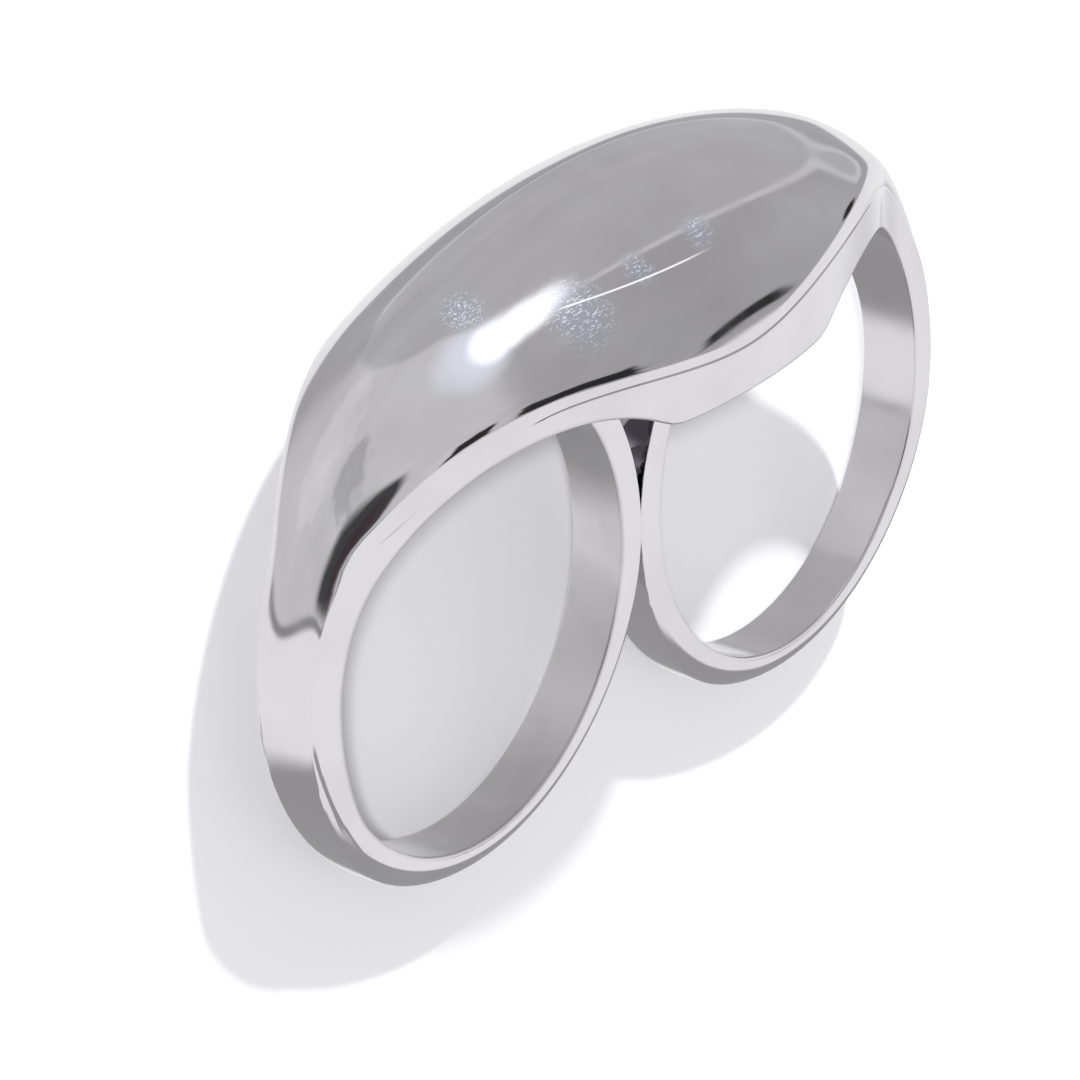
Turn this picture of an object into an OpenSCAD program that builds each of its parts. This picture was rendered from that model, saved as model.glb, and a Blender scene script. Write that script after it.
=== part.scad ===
// A ring for two fingers, cast in silver: two round bands side by side under one long, leaf-shaped dome.
// It lies on its side, as it rests on a table: the fingers' axes are near Z, the dome points to +Y.

/* [Fingers] */
// Inner diameter of each finger hole
finger_d = 17.3; // [15:0.1:22]
// How far the two bands run into each other where they are soldered
band_overlap = 0.1; // [0.06:0.02:0.3]

/* [Bands] */
// Thickness of a band
band_t = 1.3; // [1.1:0.1:2]
// Width of a band along the finger
band_w = 2.3; // [1.8:0.1:3]
// How far the lower half of a band is rounded off at its outer edges
band_round = 0.6; // [0.3:0.05:0.8]
// How much wider the bands grow on each side on their way to the dome's middle
band_flare = 0.2; // [0.05:0.05:0.4]

/* [Dome] */
// Widest part of the leaf, along the finger
leaf_w = 13; // [10:0.5:14]
// Where the leaf is widest, from the middle between the fingers
leaf_mid = -0.7; // [-1.5:0.1:1.5]
// Distance from the middle to the leaf's left point
leaf_left = 20.5; // [17:0.1:20.5]
// Distance from the middle to the leaf's right point
leaf_right = 17.7; // [17:0.1:20.5]
// Radius that blends the leaf's ends into the bands
leaf_blend_r = 4; // [2:0.5:4]
// Radius of the shoulders, seen along the finger
shoulder_r = 13.7; // [12.5:0.1:15]
// Radius of the long top line, seen along the finger
crown_line_r = 31; // [28:0.5:40]
// Radius of the dome's cross-section along its top line
ridge_r = 3.9; // [3:0.1:5]
// Half angle of that part of the cross-section
ridge_angle = 18.8; // [12:0.2:25]
// Radius of the dome's cross-section down its two flanks
flank_r = 8.1; // [7.9:0.1:10]
// Height of the dome's underside between the fingers, from the bottom of the bands
underside_h = 17.1; // [16.5:0.1:18]

/* [Hidden] */
$fn = 180;

finger_r = finger_d/2;
band_r = finger_r + band_t;
band_x = band_r - band_overlap/2;
half_band = band_w/2;
half_leaf = leaf_w/2 - band_flare;
reach = band_x + band_r;

// Tangent arcs of the outer profile, seen along the finger: shoulder, top line, shoulder
shoulder_x = reach - shoulder_r;
crown_y = band_r - sqrt((crown_line_r - shoulder_r)^2 - shoulder_x^2);
crown_angle = atan2(shoulder_x, band_r - crown_y);
crown_top = crown_y + crown_line_r;
flank_in = (flank_r - ridge_r)*cos(ridge_angle);
flank_off = (flank_r - ridge_r)*sin(ridge_angle);

// Rounded outer edges of the lower bands: an arc across the band, on a larger circle that is set higher
edge_arc_r = (half_band^2 + band_round^2)/(2*band_round);
edge_shift = band_round;
edge_margin = 0.06;
edge_arc_c = band_r + edge_shift + edge_margin - edge_arc_r;

silver = [0.78, 0.78, 0.80];
flat_span = 30;
flat_end = 0.3;
shoulder_steps = 14;
top_steps = 14;
across_steps = 20;

// The dome's cross-section, by the angle a of its surface: how far out it is, and how far below the top line
function section_z(a) =
    abs(a) <= ridge_angle ? ridge_r*sin(a) : sign(a)*(flank_r*sin(abs(a)) - flank_off);
function section_drop(a) =
    abs(a) <= ridge_angle ? ridge_r*(1 - cos(a)) : ridge_r + flank_in - flank_r*cos(a);
function section_angle(z) =
    z <= ridge_r*sin(ridge_angle) ? asin(z/ridge_r) : asin((z + flank_off)/flank_r);

// Half width of the leaf in plan: two arcs that would meet in a point, blended into the band at each end
function leaf_half(x) =
    let (u = abs(x - leaf_mid),
         run = x > leaf_mid ? leaf_right - leaf_mid : leaf_left + leaf_mid,
         arc_r = (run^2 + half_leaf^2)/(2*half_leaf),
         arc_c = arc_r - half_leaf,
         blend_c = half_band + leaf_blend_r,
         blend_x = sqrt((arc_r + leaf_blend_r)^2 - (blend_c + arc_c)^2))
    band_flare*(1 - (x/reach)^2)
    + (u < blend_x*arc_r/(arc_r + leaf_blend_r) ? sqrt(arc_r^2 - u^2) - arc_c
        : u < blend_x ? blend_c - sqrt(leaf_blend_r^2 - (blend_x - u)^2)
        : half_band);

// A station of the dome is [centre x, centre y, radius, angle from straight up].
// Towards both ends its cross-section flattens into the bands.
function depth(st, a) = st[2] - section_drop(a)*min(1, max(flat_end, (90 - abs(st[3]))/flat_span));
function station_x(st, a) = st[0] + depth(st, a)*sin(st[3]);
function station_y(st, a) = st[1] + depth(st, a)*cos(st[3]);

// The surface angle at which a station meets the leaf's outline, closed in on step by step
function edge_angle(st, a, turns) =
    turns == 0 ? a : edge_angle(st, section_angle(leaf_half(station_x(st, a))), turns - 1);

stations = [
    for (i = [0:shoulder_steps - 1])
        [-shoulder_x, band_r, shoulder_r, -90 + i*(90 - crown_angle)/shoulder_steps],
    for (i = [0:top_steps])
        [0, crown_y, crown_line_r, crown_angle*(2*i/top_steps - 1)],
    for (i = [1:shoulder_steps])
        [shoulder_x, band_r, shoulder_r, crown_angle + i*(90 - crown_angle)/shoulder_steps]
];
edges = [for (st = stations) edge_angle(st, section_angle(half_band), 12)];
last = len(stations) - 1;

// Resting on its side, the part touches the table at the leaf's widest edge and at both bands' rounded ends
leaf_reach = max([for (a = edges) section_z(a)]);
rest_angle = atan2(leaf_reach - half_band, underside_h - band_round + edge_margin);
rest_low = underside_h*sin(rest_angle) - leaf_reach*cos(rest_angle);
rest_back = (crown_top - ridge_r)*cos(rest_angle) + ridge_r;
rest_front = (edge_arc_r - edge_margin)*cos(rest_angle) - edge_arc_r;

// Numbers of the dome's points: on the skin, and at the foot of a side wall
function skin(i, j) = i*(across_steps + 1) + j;
function foot(i, side) =
    i == 0 || i == last ? skin(i, side*across_steps) : skin(last + 1, 0) + 2*(i - 1) + side;

// The dome as one closed surface, from its skin down its side walls to the level of the fingers' axes
module dome_body() {
    points = [
        for (i = [0:last], j = [0:across_steps])
            let (a = edges[i]*(2*j/across_steps - 1))
                [station_x(stations[i], a), station_y(stations[i], a), section_z(a)],
        for (i = [1:last - 1], side = [-1, 1])
            [station_x(stations[i], edges[i]), band_r, section_z(side*edges[i])]
    ];
    faces = [
        for (i = [0:last - 1], j = [0:across_steps - 1])
            each [
                [skin(i, j), skin(i + 1, j + 1), skin(i, j + 1)],
                [skin(i, j), skin(i + 1, j), skin(i + 1, j + 1)]
            ],
        for (i = [0:last - 1])
            let (near = [skin(i + 1, 0), skin(i, 0)],
                 far = [skin(i, across_steps), skin(i + 1, across_steps)])
                each i == 0
                    ? [[foot(1, 0), each near],
                       [each far, foot(1, 1)],
                       [skin(0, across_steps), foot(1, 1), foot(1, 0), skin(0, 0)]]
                    : i == last - 1
                    ? [[each near, foot(i, 0)],
                       [foot(i, 1), each far],
                       [foot(i, 1), skin(last, across_steps), skin(last, 0), foot(i, 0)]]
                    : [[foot(i + 1, 0), each near, foot(i, 0)],
                       [foot(i, 1), each far, foot(i + 1, 1)],
                       [foot(i, 1), foot(i + 1, 1), foot(i + 1, 0), foot(i, 0)]],
        [for (j = [0:across_steps]) skin(0, j)],
        [for (j = [across_steps:-1:0]) skin(last, j)]
    ];
    polyhedron(points, faces);
}

module dome() {
    difference() {
        dome_body();
        translate([-band_x, 0, -leaf_w]) cube([2*band_x, underside_h, 2*leaf_w]);
    }
}

// A band, from its outer side round the bottom and up between the fingers into the dome
module band() {
    intersection() {
        rotate_extrude(angle = 300, start = 180)
            translate([finger_r/2, -half_band]) square([band_r - finger_r/2, band_w]);
        translate([0, edge_shift, 0])
            rotate_extrude() {
                translate([edge_arc_c, 0]) circle(edge_arc_r);
                translate([0, -edge_arc_r]) square([edge_arc_c, 2*edge_arc_r]);
            }
    }
}

module ring_upright() {
    difference() {
        union() {
            dome();
            translate([-band_x, band_r, 0]) band();
            translate([band_x, band_r, 0]) mirror([1, 0, 0]) band();
        }
        for (side = [-1, 1])
            translate([side*band_x, band_r, -leaf_w]) cylinder(r = finger_r, h = 2*leaf_w);
    }
}

module double_ring() {
    color(silver)
        translate([0, -(rest_back + rest_front)/2, -rest_low])
            rotate([rest_angle, 0, 0])
                ring_upright();
}

double_ring();
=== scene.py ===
import math

import bmesh
import bpy
from mathutils import Matrix, Vector


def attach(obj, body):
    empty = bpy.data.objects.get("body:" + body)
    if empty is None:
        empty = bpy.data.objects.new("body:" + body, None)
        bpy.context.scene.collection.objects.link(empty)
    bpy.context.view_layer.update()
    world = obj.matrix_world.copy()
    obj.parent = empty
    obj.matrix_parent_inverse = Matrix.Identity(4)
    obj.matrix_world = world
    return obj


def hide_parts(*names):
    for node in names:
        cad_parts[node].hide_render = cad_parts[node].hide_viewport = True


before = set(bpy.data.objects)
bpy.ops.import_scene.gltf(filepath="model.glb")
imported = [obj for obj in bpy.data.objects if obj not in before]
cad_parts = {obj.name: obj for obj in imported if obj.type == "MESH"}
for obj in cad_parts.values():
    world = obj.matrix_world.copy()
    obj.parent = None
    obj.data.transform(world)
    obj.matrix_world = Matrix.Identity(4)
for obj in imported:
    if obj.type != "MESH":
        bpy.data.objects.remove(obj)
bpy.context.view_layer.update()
millimetre = 0.001

# Sizes of the upright ring, in millimetres and radians: X along both fingers, Y up, Z to the front
ringSizes = {
    "fingerRadius": 8.65,
    "bandRadius": 9.95,
    "bandX": 9.9,
    "bandHalf": 1.15,
    "bandRound": 0.9,
    "roundStart": 0.06,
    "roundSoft": 0.06,
    "edgeArc": 1.185,
    "flare": 0.2,
    "flareSpan": math.radians(40),
    "leafHalf": 6.3,
    "leafMid": -0.7,
    "leafLeft": 20.5,
    "leafRight": 17.7,
    "leafBlendLeft": 9.0,
    "leafBlendRight": 14.0,
    "shoulderRadius": 13.7,
    "crownRadius": 31.0,
    "ridgeRadius": 3.9,
    "ridgeAngle": math.radians(18.8),
    "flankRadius": 8.1,
    "undersideY": 17.1,
    "cornerSoft": 0.3,
    "cornerRun": 4.0,
    "flatEnd": 0.3,
    "flatSpan": math.radians(34.5),
    "rollRadius": 1.5,
    "rollByWidth": 0.5,
    "rollEnd": math.radians(87),
    "rollStop": math.radians(84),
    "rollFade": math.radians(26),
    "rollShare": 0.34,  # how much of the half section rolls over the leaf's edge
    "ledge": 0.05,
    "ledgeFrom": -13.0,
    "ledgeRun": 4.0,
    "outerEdge": 0.05,
    "innerEdge": 0.1,
    "edgePart": 0.05,  # stretch at the edge by which the skin's length is judged
    "skinSupport": 0.06,
    "wallSupport": 0.07,
    "wallRows": (0.35, 0.65),
    "boreRows": (0.6, 0.3, 0, -0.3, -0.6),
    "cornerRows": (0.25, 0.5, 0.75),
    "sharpAngle": math.radians(30),
    "bandSteps": 96,
    "shoulderSteps": 30,
    "crownSteps": 44,
    "acrossSteps": 48,
    "edgeSteps": 30,  # rounds that close in on the leaf's outline
    "sunkFrom": math.radians(55.5),
    "sunkAngle": math.radians(60),
    "sunkDepth": 0.3,  # how far a band's end hides in the dome
}

# How it lies on the table: tipped onto the leaf's widest edge, then set down
restTilt = math.radians(17.8846)
restBack = -11.8231
restUp = 0.928595


def tipped(point):
    x, y, z = point
    c, s = math.cos(restTilt), math.sin(restTilt)
    return x, y * c - z * s, y * s + z * c


def lying(point):
    # An upright point in millimetres becomes a lying one in metres
    x, y, z = tipped(point)
    return Vector((x, y + restBack, z + restUp)) * millimetre


def lyingDirection(point):
    return Vector(tipped(point))


# Camera
cameraView = {
    "turn": -0.93,
    "rise": 0.4366,
    "roll": -0.0175,
    "distance": 215.49,
    "sideways": 2.877,
    "upwards": -0.4827,
    "aimY": 8.65,
    "lens": 192.42,
    "sensor": 36.0,
    "nearest": 0.001,
}


def setCamera(s):
    turn, rise = s["turn"], s["rise"]
    back = Vector((math.sin(turn) * math.cos(rise), math.sin(rise), math.cos(turn) * math.cos(rise)))
    flatRight = Vector((math.cos(turn), 0, -math.sin(turn)))
    flatUp = back.cross(flatRight)
    c, r = math.cos(s["roll"]), math.sin(s["roll"])
    right = flatRight * c + flatUp * r
    up = flatUp * c - flatRight * r
    place = Vector((0, s["aimY"], 0)) + back * s["distance"] - right * s["sideways"] - up * s["upwards"]
    camera = bpy.data.objects.new("camera", bpy.data.cameras.new("camera"))
    camera.data.lens = s["lens"]
    camera.data.sensor_width = s["sensor"]
    camera.data.clip_start = s["nearest"]
    axes = [lyingDirection(axis) for axis in (right, up, back)]
    turned = Matrix([list(row) for row in zip(*axes)]).to_4x4()
    camera.matrix_world = Matrix.Translation(lying(place)) @ turned
    bpy.context.scene.collection.objects.link(camera)
    bpy.context.scene.camera = camera
    return camera


camera = setCamera(cameraView)
print("camera set")


# Shader helpers
class Wire:
    # A node's output that can be used in sums
    def __init__(self, tree, socket):
        self.tree = tree
        self.socket = socket

    def maths(self, operation, first, second):
        node = self.tree.nodes.new("ShaderNodeMath")
        node.operation = operation
        for slot, value in zip(node.inputs, (first, second)):
            if isinstance(value, Wire):
                self.tree.links.new(value.socket, slot)
            else:
                slot.default_value = value
        return Wire(self.tree, node.outputs[0])

    def __add__(self, other):
        return self.maths("ADD", self, other)

    __radd__ = __add__

    def __sub__(self, other):
        return self.maths("SUBTRACT", self, other)

    def __rsub__(self, other):
        return self.maths("SUBTRACT", other, self)

    def __mul__(self, other):
        return self.maths("MULTIPLY", self, other)

    __rmul__ = __mul__

    def largest(self, other):
        return self.maths("MAXIMUM", self, other)


class Bench:
    # Puts nodes into one tree
    def __init__(self, tree):
        self.tree = tree
        tree.nodes.clear()

    def node(self, kind, settings=None, sockets=None, output=0):
        node = self.tree.nodes.new(kind)
        for name, value in (settings or {}).items():
            setattr(node, name, value)
        for name, value in (sockets or {}).items():
            if isinstance(value, Wire):
                self.tree.links.new(value.socket, node.inputs[name])
            else:
                node.inputs[name].default_value = value
        return Wire(self.tree, node.outputs[output]) if node.outputs else None

    def step(self, value, low, high):
        return self.node("ShaderNodeMapRange", {"interpolation_type": "SMOOTHSTEP"}, {
            "Value": value, "From Min": low, "From Max": high}, "Result")

    def span(self, value, rise, fall):
        return self.step(value, *rise) * self.step(value, *fall)

    def vectors(self, operation, *values, output="Vector"):
        return self.node("ShaderNodeVectorMath", {"operation": operation}, dict(enumerate(values)), output)

    def noise(self, vector, scale, detail):
        return self.node("ShaderNodeTexNoise", None, {"Vector": vector, "Scale": scale, "Detail": detail})

    def mix(self, factor, first, second):
        return self.node("ShaderNodeMix", {"data_type": "RGBA"}, {"Factor": factor, 6: first, 7: second}, 2)


def largest(masks):
    most = masks[0]
    for mask in masks[1:]:
        most = most.largest(mask)
    return most


# Shape of the ring
def sectionZ(angle, s):
    if abs(angle) <= s["ridgeAngle"]:
        return s["ridgeRadius"] * math.sin(angle)
    offset = (s["flankRadius"] - s["ridgeRadius"]) * math.sin(s["ridgeAngle"])
    return math.copysign(s["flankRadius"] * math.sin(abs(angle)) - offset, angle)


def sectionDrop(angle, s):
    if abs(angle) <= s["ridgeAngle"]:
        return s["ridgeRadius"] * (1 - math.cos(angle))
    offset = (s["flankRadius"] - s["ridgeRadius"]) * math.cos(s["ridgeAngle"])
    return s["ridgeRadius"] + offset - s["flankRadius"] * math.cos(angle)


def sectionAngle(z, s):
    if z <= s["ridgeRadius"] * math.sin(s["ridgeAngle"]):
        return math.asin(z / s["ridgeRadius"])
    offset = (s["flankRadius"] - s["ridgeRadius"]) * math.sin(s["ridgeAngle"])
    return math.asin((z + offset) / s["flankRadius"])


def leafHalf(x, s):
    # Half width of the leaf in plan, blended into the bands at both ends
    reach = s["bandX"] + s["bandRadius"]
    u = abs(x - s["leafMid"])
    run = s["leafRight"] - s["leafMid"] if x > s["leafMid"] else s["leafLeft"] + s["leafMid"]
    arc = (run ** 2 + s["leafHalf"] ** 2) / (2 * s["leafHalf"])
    centre = arc - s["leafHalf"]
    blend = s["leafBlendRight"] if x > s["leafMid"] else s["leafBlendLeft"]
    blendZ = s["bandHalf"] + blend
    blendX = math.sqrt((arc + blend) ** 2 - (blendZ + centre) ** 2)
    if u < blendX * arc / (arc + blend):
        half = math.sqrt(arc ** 2 - u ** 2) - centre
    elif u < blendX:
        half = blendZ - math.sqrt(blend ** 2 - (blendX - u) ** 2)
    else:
        half = s["bandHalf"]
    return half + s["flare"] * max(0, 1 - (x / reach) ** 2)


def boreBelow(x, y, s):
    # The point of the finger hole or underside that lies under a point of the top line
    side = math.copysign(1, x)
    centreY = s["bandRadius"]
    if abs(x) <= s["bandX"]:
        hole = centreY + math.sqrt(max(0, s["fingerRadius"] ** 2 - (abs(x) - s["bandX"]) ** 2))
        fillet = s["cornerSoft"] * eased((s["bandX"] - abs(x)) / s["cornerRun"])
        return x, (s["undersideY"] + hole + math.hypot(s["undersideY"] - hole, fillet)) / 2
    turn = math.atan2(y - centreY, abs(x) - s["bandX"])
    out = s["bandX"] + s["fingerRadius"] * math.cos(turn)
    return side * out, centreY + s["fingerRadius"] * math.sin(turn)


def eased(value):
    value = min(1, max(0, value))
    return value * value * (3 - 2 * value)


def domeStation(centreX, centreY, radius, angle, s):
    # The skin across the dome at one place of the top line, the hole's edge below it, and the half width
    keep = s["flatEnd"] + (1 - s["flatEnd"]) * eased((math.pi / 2 - abs(angle)) / s["flatSpan"])

    def skin(part):
        turn = startAngle * min(abs(part) / rollPart, 1)
        roll = startAngle
        if abs(part) > rollPart:
            roll += (endAngle - startAngle) * (abs(part) - rollPart) / (1 - rollPart)
        z = sectionZ(turn, s) + rollRadius * (math.sin(roll) - math.sin(startAngle))
        drop = sectionDrop(turn, s) + rollRadius * (math.cos(startAngle) - math.cos(roll))
        depth = radius - drop * keep
        return centreX + depth * math.sin(angle), centreY + depth * math.cos(angle), math.copysign(z, part)

    fade = eased((s["rollStop"] - abs(angle)) / s["rollFade"])
    rollPart = 1 - s["rollShare"] * fade
    rollRadius = 0
    startAngle = endAngle = sectionAngle(s["bandHalf"], s)
    for i in range(s["edgeSteps"]):
        edgeX = skin(1)[0]
        half = leafHalf(edgeX, s) - s["ledge"] * fade * eased((edgeX - s["ledgeFrom"]) / s["ledgeRun"])
        rollRadius = min(s["rollRadius"], s["rollByWidth"] * half)
        endAngle = startAngle + max(0, s["rollEnd"] - startAngle) * fade
        startAngle = sectionAngle(half - rollRadius * (math.sin(endAngle) - math.sin(startAngle)), s)
    top = skin(0)
    return skin, boreBelow(top[0], top[1], s), lambda x: leafHalf(x, s)


def bandStation(side, turn, s):
    # The same across a band, which is rounded off towards its bottom and sinks into the dome at its end
    sunk = s["sunkDepth"] * eased((turn - s["sunkFrom"]) / (s["sunkAngle"] - s["sunkFrom"]))
    c, r = math.cos(turn), math.sin(turn)
    flare = eased(1 - (turn + math.pi) / s["flareSpan"])

    def halfAt(x):
        return s["bandHalf"] + (leafHalf(x, s) - s["bandHalf"]) * flare

    def skin(part):
        z = part * halfAt(side * (-s["bandX"] + s["bandRadius"] * c))
        arcDrop = s["edgeArc"] - math.sqrt(s["edgeArc"] ** 2 - min(abs(z), s["bandHalf"]) ** 2)
        past = arcDrop - s["roundStart"] - s["bandRound"] * (1 + r)
        rounded = (past + math.hypot(past, s["roundSoft"])) / 2
        depth = s["bandRadius"] - (rounded + s["flatEnd"] * sectionDrop(sectionAngle(abs(z), s), s))
        return side * (-s["bandX"] + depth * c), s["bandRadius"] + depth * r, z

    inner = s["fingerRadius"] + sunk
    return skin, (side * (-s["bandX"] + inner * c), s["bandRadius"] + inner * r), halfAt


def between(a, b, t):
    return tuple(p + (q - p) * t for p, q in zip(a, b))


def roundedCorner(before, corner, after, rows):
    # Points along a soft corner
    return [between(between(before, corner, t), between(corner, after, t), t) for t in rows]


def sectionLoop(station, s):
    # One closed loop of points round the metal: skin, front wall, bore, back wall
    skin, (innerX, innerY), halfAt = station
    edge = skin(1)
    wallLength = math.dist(edge[:2], (innerX, innerY))
    acrossLength = math.dist(edge, skin(1 - s["edgePart"])) / s["edgePart"]
    cutSkin = s["outerEdge"] / acrossLength
    cutOuter = s["outerEdge"] / wallLength
    cutInner = s["innerEdge"] / wallLength
    support = s["wallSupport"] / wallLength

    def wall(t, side):
        x, y = between(edge[:2], (innerX, innerY), t)
        return x, y, side * halfAt(x)

    innerHalf = halfAt(innerX)
    cutBore = s["innerEdge"] / innerHalf
    boreSupport = s["wallSupport"] / innerHalf

    def bore(part):
        return innerX, innerY, part * innerHalf

    inside = 1 - cutSkin
    besideEdge = inside - s["skinSupport"] / acrossLength
    parts = [-inside, -besideEdge]
    parts += [inside * (2 * i / s["acrossSteps"] - 1) for i in range(1, s["acrossSteps"])]
    parts += [besideEdge, inside]
    down = [cutOuter, cutOuter + support, *s["wallRows"], 1 - cutInner - support, 1 - cutInner]
    across = [1 - cutBore, 1 - cutBore - boreSupport, *s["boreRows"]]
    across += [-1 + cutBore + boreSupport, -1 + cutBore]
    rows = s["cornerRows"]
    loop = [skin(part) for part in parts]
    loop += roundedCorner(skin(inside), edge, wall(cutOuter, 1), rows)
    loop += [wall(t, 1) for t in down]
    loop += roundedCorner(wall(1 - cutInner, 1), bore(1), bore(1 - cutBore), rows)
    loop += [bore(part) for part in across]
    loop += roundedCorner(bore(-1 + cutBore), bore(-1), wall(1 - cutInner, -1), rows)
    loop += [wall(t, -1) for t in reversed(down)]
    loop += roundedCorner(wall(cutOuter, -1), skin(-1), skin(-inside), rows)
    return loop


def ringStations(s):
    # From the left band's upper end round its bottom, over the dome and round the right band
    shoulderX = s["bandX"] + s["bandRadius"] - s["shoulderRadius"]
    crownY = s["bandRadius"] - math.sqrt((s["crownRadius"] - s["shoulderRadius"]) ** 2 - shoulderX ** 2)
    crownAngle = math.atan2(shoulderX, s["bandRadius"] - crownY)
    bandRun = s["sunkAngle"] + math.pi
    turns = [s["sunkAngle"] - bandRun * i / s["bandSteps"] for i in range(s["bandSteps"])]
    left = [bandStation(1, turn, s) for turn in turns]
    right = [bandStation(-1, turn, s) for turn in turns]
    shoulder = [
        math.pi / 2 - (math.pi / 2 - crownAngle) * i / s["shoulderSteps"] for i in range(s["shoulderSteps"])
    ]
    crown = [crownAngle * (2 * i / s["crownSteps"] - 1) for i in range(s["crownSteps"] + 1)]
    centreY, radius = s["bandRadius"], s["shoulderRadius"]
    over = [domeStation(-shoulderX, centreY, radius, -angle, s) for angle in shoulder]
    over += [domeStation(0, crownY, s["crownRadius"], angle, s) for angle in crown]
    over += [domeStation(shoulderX, centreY, radius, angle, s) for angle in reversed(shoulder)]
    return left + over + right[::-1]


def makeRing(s):
    # A grid that is bent into the loops, joined along its length and filled at the hidden band ends
    loops = [sectionLoop(station, s) for station in ringStations(s)]
    rows, columns = len(loops), len(loops[0])
    bm = bmesh.new()
    bmesh.ops.create_grid(bm, x_segments=rows - 1, y_segments=columns, size=1)
    for vertex in bm.verts:
        row = round((vertex.co.x + 1) / 2 * (rows - 1))
        column = round((vertex.co.y + 1) / 2 * columns) % columns
        vertex.co = lying(loops[row][column])
    bmesh.ops.remove_doubles(bm, verts=bm.verts, dist=1e-7)
    bmesh.ops.holes_fill(bm, edges=[edge for edge in bm.edges if edge.is_boundary], sides=0)
    bmesh.ops.recalc_face_normals(bm, faces=bm.faces)
    for face in bm.faces:
        face.smooth = True
    mesh = bpy.data.meshes.new("doubleRing")
    bm.to_mesh(mesh)
    bm.free()
    mesh.set_sharp_from_angle(angle=s["sharpAngle"])
    return bpy.data.objects.new("doubleRing", mesh)


doubleRing = makeRing(ringSizes)
bpy.context.scene.collection.objects.link(doubleRing)
print("ring modelled,", len(doubleRing.data.polygons), "faces")

# Polished silver. A noise is its scale and detail, and a step is the two values it fades between
silverLook = {
    "bright": (0.81, 0.795, 0.835, 1),
    "dull": (0.765, 0.745, 0.785, 1),
    "cloudNoise": (0.22, 3.0),
    "cloudStep": (0.35, 0.65),
    "roughness": 0.045,
    "smudge": 0.05,
    "smudgeNoise": (0.5, 3.0),
    "smudgeStep": (0.4, 0.7),
    "waves": 0.012,
    "waveNoise": (0.16, 1.0),
    "scratchRoughness": 0.2,
    "scratchPale": 0.4,
    "scratchDepth": 0.003,
    "fine": ((0.0, 0.45, 0.55), 0.05, 1.2, 0.62, 0.7),  # turn, spacing, length, step
    "crossing": ((0.3, -0.4, -0.5), 0.06, 0.8, 0.64, 0.72),
    "speckNoise": (9.0, 1.0),
    "speckStep": (0.64, 0.7),
    "wornSpots": [
        ((-7.6, 7.8, 11.5), 1.9),
        ((-10.9, 9.2, 9.1), 1.2),
        ((-4.3, 8.3, 11.8), 0.9),
        ((-0.7, 8.6, 11.9), 1.0),
    ],
    "wornCore": 0.2,
    "wornShare": 0.7,
    "wornRoughness": 0.1,
    "wornColour": (0.74, 0.78, 0.9, 1),
    "scored": ((-0.107, -0.881, 0.462), -1.022, 0.0137, -8.5, -0.2),  # across, level, bow, start, end
    "scorePale": 0.7,
    "scoreRise": (-0.05, -0.015),
    "scoreFall": (0.05, 0.015),
    "scoreFades": (0.8, 2.5),
    "bores": ((-1, 0.3, 0.5), (1, 0.12, 0.15)),  # side, added roughness, share of the painted shade colour
    "boreStep": (8.85, 8.7),
    # Painted shade: the darker grey that the finger holes' walls are given
    "boreShadeColour": (0.56, 0.55, 0.57, 1),
    "boreShadeNoise": (0.4, 2.0),
    "boreShadeClouds": (0.6, 0.6),  # depth, least
    "gapY": 15.2,
    "gapStep": (2.6, 1.9),
    "gapRise": (-1.12, -1.02),
    "gapFall": (1.12, 1.02),
    # Painted shade: the darker grey of the gap between the bands under the dome
    "gapShadeColour": (0.42, 0.41, 0.44, 1),
}


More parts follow.
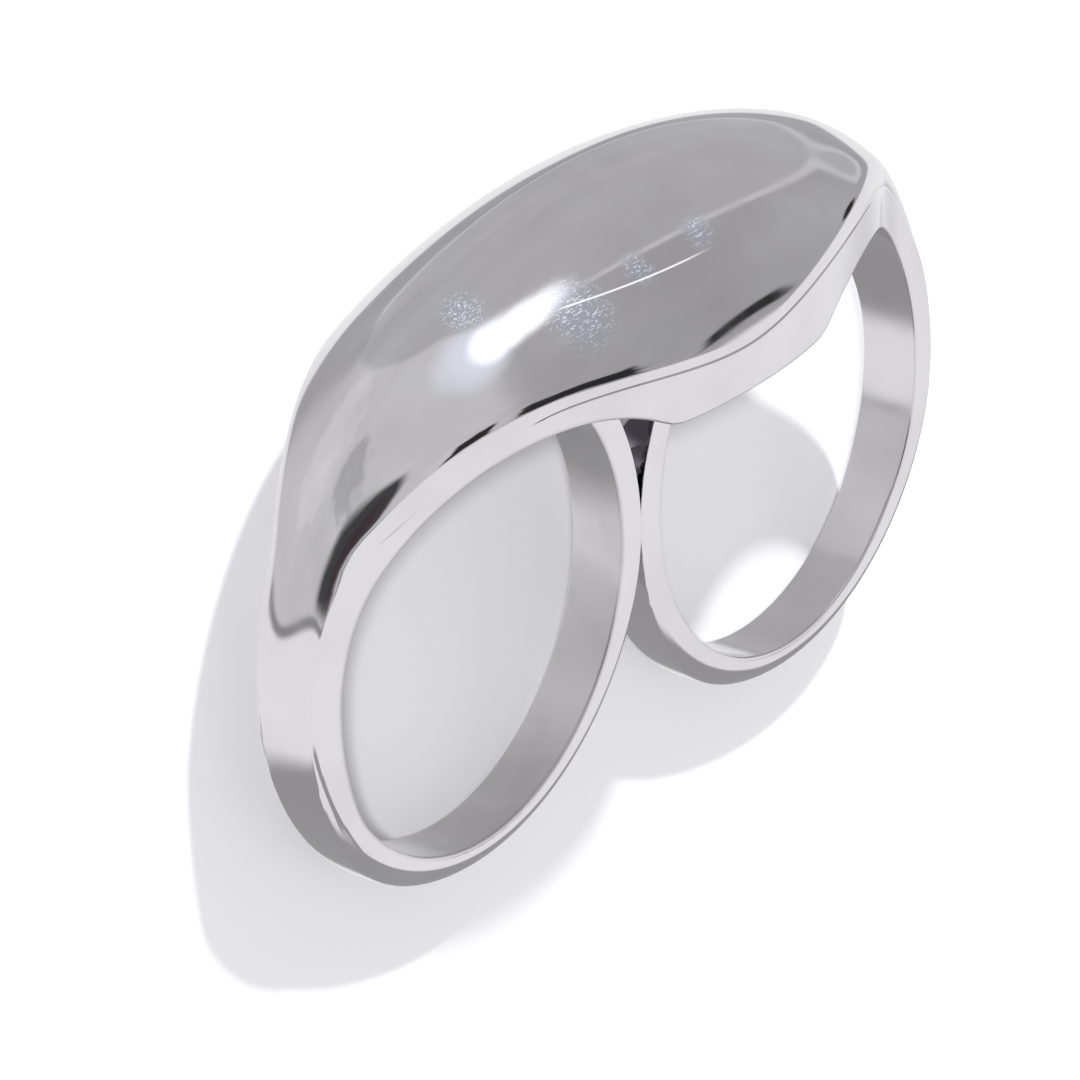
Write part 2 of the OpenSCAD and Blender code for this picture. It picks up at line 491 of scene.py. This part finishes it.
def makeSilver(look):
    material = bpy.data.materials.new("polishedSilver")
    material.use_nodes = True
    bench = Bench(material.node_tree)
    step = bench.step
    place = bench.node("ShaderNodeTexCoord", output="Object")
    inMillimetres = bench.node("ShaderNodeMapping", None, {"Vector": place, "Scale": (1 / millimetre,) * 3})

    def noise(scale, detail):
        return bench.noise(inMillimetres, scale, detail)

    def scratches(turn, spacing, length, low, high):
        # Long thin marks, all lying one way
        scale = [1 / (size * millimetre) for size in (length, spacing, spacing)]
        laid = bench.node("ShaderNodeMapping", None, {"Vector": place, "Rotation": turn, "Scale": scale})
        return step(bench.noise(laid, 1.0, 1.0), low, high)

    def near(spot, size):
        away = bench.vectors("DISTANCE", inMillimetres, spot, output="Value")
        return step(away, size, size * look["wornCore"])

    worn = largest([near(*spot) for spot in look["wornSpots"]])
    marks = scratches(*look["fine"]).largest(scratches(*look["crossing"]))
    specks = step(noise(*look["speckNoise"]), *look["speckStep"])
    scratch = marks.largest(specks) * worn * look["scratchPale"]

    # One long scratch runs along the top
    across, level, bow, start, end = look["scored"]
    startFade, endFade = look["scoreFades"]
    along = bench.node("ShaderNodeSeparateXYZ", None, {"Vector": inMillimetres}, "X")
    middle = along - (start + end) / 2
    offset = bench.vectors("DOT_PRODUCT", inMillimetres, across, output="Value") - level
    score = bench.span(offset + middle * middle * bow, look["scoreRise"], look["scoreFall"])
    score = score * bench.span(along, (start, start + startFade), (end, end - endFade))
    scratch = scratch.largest(score * look["scorePale"])

    cloud = step(noise(*look["cloudNoise"]), *look["cloudStep"])
    colour = bench.mix(cloud, look["bright"], look["dull"])
    colour = bench.mix(worn * look["wornShare"], colour, look["wornColour"])
    roughness = (step(noise(*look["smudgeNoise"]), *look["smudgeStep"]) * look["smudge"] + look["roughness"]
                 + worn * look["wornRoughness"] + scratch * look["scratchRoughness"])
    axis = lyingDirection((0, 0, 1))

    def fromLine(x, y):
        # Distance from a line along the fingers
        out = bench.vectors("SUBTRACT", inMillimetres, lying((x, y, 0)) / millimetre)
        return bench.vectors("LENGTH", bench.vectors("CROSS_PRODUCT", out, axis), output="Value")

    # The walls of the finger holes are brushed, and darkened by a mottled painted shade
    depth, least = look["boreShadeClouds"]
    shadeMottle = step(noise(*look["boreShadeNoise"]), *look["cloudStep"]) * depth + least
    for side, rough, share in look["bores"]:
        bore = step(fromLine(side * ringSizes["bandX"], ringSizes["bandRadius"]), *look["boreStep"])
        roughness = roughness + bore * rough
        colour = bench.mix(bore * share * shadeMottle, colour, look["boreShadeColour"])

    # The gap between the bands under the dome is darkened with painted shade
    middleLevel = (lying((0, 0, 0)) / millimetre).dot(axis)
    forward = bench.vectors("DOT_PRODUCT", inMillimetres, axis, output="Value") - middleLevel
    within = bench.span(forward, look["gapRise"], look["gapFall"])
    gap = step(fromLine(0, look["gapY"]), *look["gapStep"]) * within
    colour = bench.mix(gap, colour, look["gapShadeColour"])

    relief = noise(*look["waveNoise"]) * look["waves"] - scratch * look["scratchDepth"]
    bump = bench.node("ShaderNodeBump", None, {"Height": relief, "Strength": 1.0, "Distance": millimetre})
    shader = bench.node("ShaderNodeBsdfPrincipled", None, {
        "Base Color": colour, "Metallic": 1.0 - scratch, "Roughness": roughness, "Normal": bump})
    bench.node("ShaderNodeOutputMaterial", None, {"Surface": shader})
    return material


doubleRing.data.materials.append(makeSilver(silverLook))
print("silver finished")
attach(doubleRing, "root")
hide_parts("double_ring")

# Floor
floorLook = {"side": 3.0, "colour": (0.85, 0.845, 0.885, 1), "roughness": 0.7}


def makeFloor(look):
    bm = bmesh.new()
    bmesh.ops.create_grid(bm, x_segments=1, y_segments=1, size=look["side"])
    mesh = bpy.data.meshes.new("paleFloor")
    bm.to_mesh(mesh)
    bm.free()
    floor = bpy.data.objects.new("paleFloor", mesh)
    material = bpy.data.materials.new("paleFloor")
    material.use_nodes = True
    bench = Bench(material.node_tree)
    shader = bench.node("ShaderNodeBsdfPrincipled", None, {
        "Base Color": look["colour"], "Roughness": look["roughness"]})
    bench.node("ShaderNodeOutputMaterial", None, {"Surface": shader})
    mesh.materials.append(material)
    bpy.context.scene.collection.objects.link(floor)
    return floor


floor = makeFloor(floorLook)
print("floor laid")

# What the metal mirrors, by directions of the upright ring. Single numbers are greys or shares, a pair is
# the two values that a step fades between, and a patch is its middle with its outer and inner angle
mirrored = {
    "driftNoise": (2.2, 2.0),
    "driftShare": 0.4,
    "driftLeast": 0.8,
    "pieceNoise": (9.0, 2.0),
    "wallAxis": (0.54, 0.77, -0.335),
    "wallStep": (0.745, 0.755),
    "tipStep": (0.955, 0.985),
    "tipShift": 0.08,
    "behind": 0.5,
    "aside": 0.43,
    "windowRight": (0.25, -0.05),
    "windowWall": (0.765, 0.735),
    "window": 0.64,
    "paneFray": 0.05,
    "paneAxis": (-0.45, 0.6, -0.65),
    "paneStep": (0.955, 0.975),
    "pane": 0.7,
    "paneShadeAxis": (-0.7, 0.68, -0.14),
    "paneShadeStep": (0.995, 1.01),
    "paneShade": 0.47,
    "seamRise": (0.735, 0.746),
    "seamFall": (0.765, 0.754),
    "seamRight": (0.3, 0.45),
    "seam": 0.64,
    "glowSide": (0.628, 0.416, -0.657),
    "glowStep": (0.45, 0.40),
    "glowPatch": ((-0.2, 0.95, 0.2), 30, 8),
    "glow": 0.64,
    "haloPatch": ((0.07, 0.955, 0.27), 17, 1),
    "haloTail": ((-0.03, 0.96, 0.24), 13, 1),
    "haloTailShare": 0.7,
    "haloTint": (0.88, 0.93, 1.0, 1),
    "halo": 0.95,
    "lampPatches": [
        ((0.17, 0.94, 0.29), 10, 1),
        ((0.27, 0.91, 0.31), 8, 2),
        ((0.34, 0.88, 0.33), 7, 1),
    ],
    "lamp": 1.7,
    "darkFray": 0.12,
    "darkSpans": [((0.16, 0.19), (0.64, 0.6)), ((-0.2, -0.16), (0.05, 0.02))],
    "darkRise": (0.1, 0.14),
    "darkFall": (0.42, 0.36),
    "darkFront": (0.3, 0.5),
    "slitSpan": ((0.73, 0.75), (0.87, 0.85)),
    "slitRise": (0.06, 0.07),
    "slitFall": (0.12, 0.11),
    "darkPatch": ((0.97, 0.11, 0.23), 5, 3),
    "dark": 0.03,
    "streakAxis": (0.735, 0.271, -0.621),
    "streakStep": (-0.46, -0.53),
    "streakRight": (-0.55, -0.64),
    "streakRise": (0.08, 0.2),
    "streakFall": (0.74, 0.64),
    "streak": 0.06,
    "reddishPatch": ((-0.84, 0.34, 0.42), 18, 4),
    "reddish": (1.0, 0.68, 0.74, 1),
    "rimRight": (-0.5, -0.8),
    "rimLift": 0.13,
    "rimFront": (-0.7, -0.25),
    "rimDrop": 0.17,
    "rimLineStep": (0.07, 0.04),
    "rimLineRight": (-0.4, -0.6),
    "rimLine": 0.3,
    "tableStep": (0.02, -0.02),
    "table": 0.9,
    "shadePatches": [((0.05, -0.87, -0.48), 32, 19), ((0.68, -0.7, -0.1), 27, 15)],
    "shadeHeight": (-0.6, -0.72),
    "shadeFront": (0.66, 0.54),
    "shade": 0.36,
    "plain": (1, 1, 1, 1),
}


def paint(grey, mask, target):
    return grey + (target - grey) * mask


def makeStudio(s):
    world = bpy.data.worlds.new("studio")
    world.use_nodes = True
    bench = Bench(world.node_tree)
    step, span = bench.step, bench.span
    direction = bench.node("ShaderNodeTexCoord", output="Generated")

    def along(axis):
        towards = lyingDirection(Vector(axis).normalized())
        return bench.vectors("DOT_PRODUCT", direction, towards, output="Value")

    def patch(axis, outer, inner):
        return step(along(axis), math.cos(math.radians(outer)), math.cos(math.radians(inner)))

    height = along((0, 1, 0))
    front = along((0, 0, 1))
    right = along((1, 0, 0))
    drift = bench.noise(direction, *s["driftNoise"])
    pieces = bench.noise(direction, *s["pieceNoise"])

    # Greys of the room: a wall behind the ring, a darker part in front of it, a window, panes on the left,
    # and the pale seam between wall and front
    wall = along(s["wallAxis"]) + step(right, *s["tipStep"]) * s["tipShift"]
    fray = pieces * s["paneFray"]
    grey = step(wall, *s["wallStep"]) * (s["behind"] - s["aside"]) + s["aside"]
    grey = paint(grey, step(right, *s["windowRight"]) * step(wall, *s["windowWall"]), s["window"])
    grey = paint(grey, step(along(s["paneAxis"]) + fray, *s["paneStep"]), s["pane"])
    grey = paint(grey, step(along(s["paneShadeAxis"]) + fray, *s["paneShadeStep"]), s["paneShade"])
    grey = grey * (drift * s["driftShare"] + s["driftLeast"])
    grey = paint(grey, span(wall, s["seamRise"], s["seamFall"]) * step(right, *s["seamRight"]), s["seam"])

    # The lamp overhead and the soft glow round it
    near = step(along(s["glowSide"]), *s["glowStep"])
    halo = patch(*s["haloPatch"]).largest(patch(*s["haloTail"]) * s["haloTailShare"]) * near
    grey = paint(grey, patch(*s["glowPatch"]) * near, s["glow"])
    grey = paint(grey, halo, s["halo"])
    grey = paint(grey, largest([patch(*lamp) for lamp in s["lampPatches"]]), s["lamp"])

    # Dark things in front and on the right, with ragged ends, and a dark streak on the left
    raggedRight = right + pieces * s["darkFray"]
    raggedHeight = height + pieces * s["darkFray"]
    before = step(front, *s["darkFront"])
    spans = largest([span(raggedRight, *limits) for limits in s["darkSpans"]])
    gap = spans * span(raggedHeight, s["darkRise"], s["darkFall"]) * before
    slit = span(raggedRight, *s["slitSpan"]) * span(height, s["slitRise"], s["slitFall"]) * before
    streak = step(along(s["streakAxis"]), *s["streakStep"]) * step(right, *s["streakRight"])
    streak = streak * span(height, s["streakRise"], s["streakFall"])
    grey = paint(grey, gap.largest(slit), s["dark"])
    grey = paint(grey, streak, s["streak"])
    grey = paint(grey, patch(*s["darkPatch"]), s["dark"])

    # The pale table below, its far edge, and the ring's own shade on it
    rim = height + step(right, *s["rimRight"]) * (s["rimLift"] - step(front, *s["rimFront"]) * s["rimDrop"])
    shade = largest([patch(*spot) for spot in s["shadePatches"]])
    shade = shade.largest(step(height, *s["shadeHeight"]) * step(front, *s["shadeFront"]))
    grey = paint(grey, step(rim, *s["rimLineStep"]) * step(right, *s["rimLineRight"]), s["rimLine"])
    grey = paint(grey, step(rim, *s["tableStep"]), s["table"])
    grey = paint(grey, shade, s["shade"])

    tint = bench.mix(halo, s["plain"], s["haloTint"])
    tint = bench.mix(streak * patch(*s["reddishPatch"]), tint, s["reddish"])
    background = bench.node("ShaderNodeBackground", None, {"Color": tint, "Strength": grey})
    bench.node("ShaderNodeOutputWorld", None, {"Surface": background})
    bpy.context.scene.world = world


# Lamps for the floor and its shadow. The metal doesn't mirror them
lamps = {
    "sunStrength": 2.9,
    "sunFrom": (0.55, 1.45, 1.0),
    "sunAngle": math.radians(3),
    "fillStrength": 1.64,
    "fillAngle": math.radians(4),
}


def addSun(name, strength, angle, towards):
    lamp = bpy.data.lights.new(name, "SUN")
    lamp.energy = strength
    lamp.angle = angle
    sun = bpy.data.objects.new(name, lamp)
    sun.rotation_euler = Vector(towards).to_track_quat("Z", "Y").to_euler()
    sun.visible_glossy = False
    bpy.context.scene.collection.objects.link(sun)


makeStudio(mirrored)
addSun("sun", lamps["sunStrength"], lamps["sunAngle"], lamps["sunFrom"])
addSun("fill", lamps["fillStrength"], lamps["fillAngle"], camera.matrix_world.col[2].to_3d())
floor.visible_glossy = False
bpy.context.scene.view_settings.view_transform = "Standard"
print("light set")
